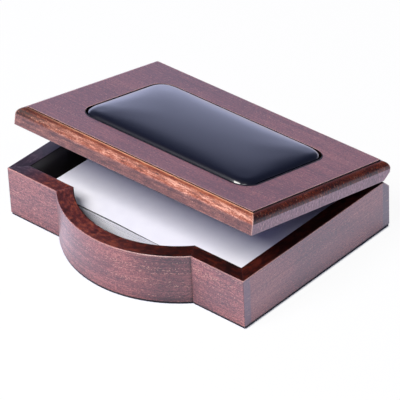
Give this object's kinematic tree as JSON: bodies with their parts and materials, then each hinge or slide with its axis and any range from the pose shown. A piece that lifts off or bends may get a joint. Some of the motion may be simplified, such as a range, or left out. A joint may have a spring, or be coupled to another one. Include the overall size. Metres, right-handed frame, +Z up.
{
  "type": "memo box",
  "caption": "Wooden desk memo box for loose sheets, with a bowed open front, and a hinged lid that has a padded leather panel in its top.",
  "frame": {"origin": "on the desk, at the middle of the straight-sided part of the box", "axes": "+X along the front to the right, +Y from the bowed front to the hinges, +Z up"},
  "size_m": [0.19, 0.1583, 0.0729],
  "materials": {
    "felt": "short pressed black felt",
    "panel": "dark stained plywood",
    "tray_wood": "mahogany stain under satin lacquer",
    "lid_wood": "mahogany stain under satin lacquer",
    "sheets": "plain white writing paper",
    "hinge_brass": "rolled and tumbled brass",
    "pin_steel": "drawn wire",
    "screw_brass": "turned brass",
    "pad_board": "stiff fibreboard",
    "foam": "soft foam",
    "leather": "smooth glossy black leather"
  },
  "bodies": {
    "base": {"felt_base": "felt", "base_panel": "panel", "left_wall": "tray_wood", "right_wall": "tray_wood", "back_wall": "tray_wood", "front_rail_left": "tray_wood", "front_rail_right": "tray_wood", "bow_front": "tray_wood", "memo_block": "sheets", "loose_sheets": "sheets", "hinge_left_base_leaf": "hinge_brass", "hinge_right_base_leaf": "hinge_brass", "hinge_left_pin": "pin_steel", "hinge_right_pin": "pin_steel", "base_hinge_screws": "screw_brass"},
    "lid": {"lid_board": "lid_wood", "pad_board": "pad_board", "foam_pad": "foam", "leather_cover": "leather", "hinge_left_lid_leaf": "hinge_brass", "hinge_right_lid_leaf": "hinge_brass", "lid_hinge_screws": "screw_brass"}
  },
  "joints": [
    {"name": "lid_hinge", "type": "hinge", "parent": "base", "child": "lid", "pos_m": [0, 0.06339, 0.03455], "axis": [-1, 0, 0], "range_deg": [-12.4, 77.6]}
  ]
}
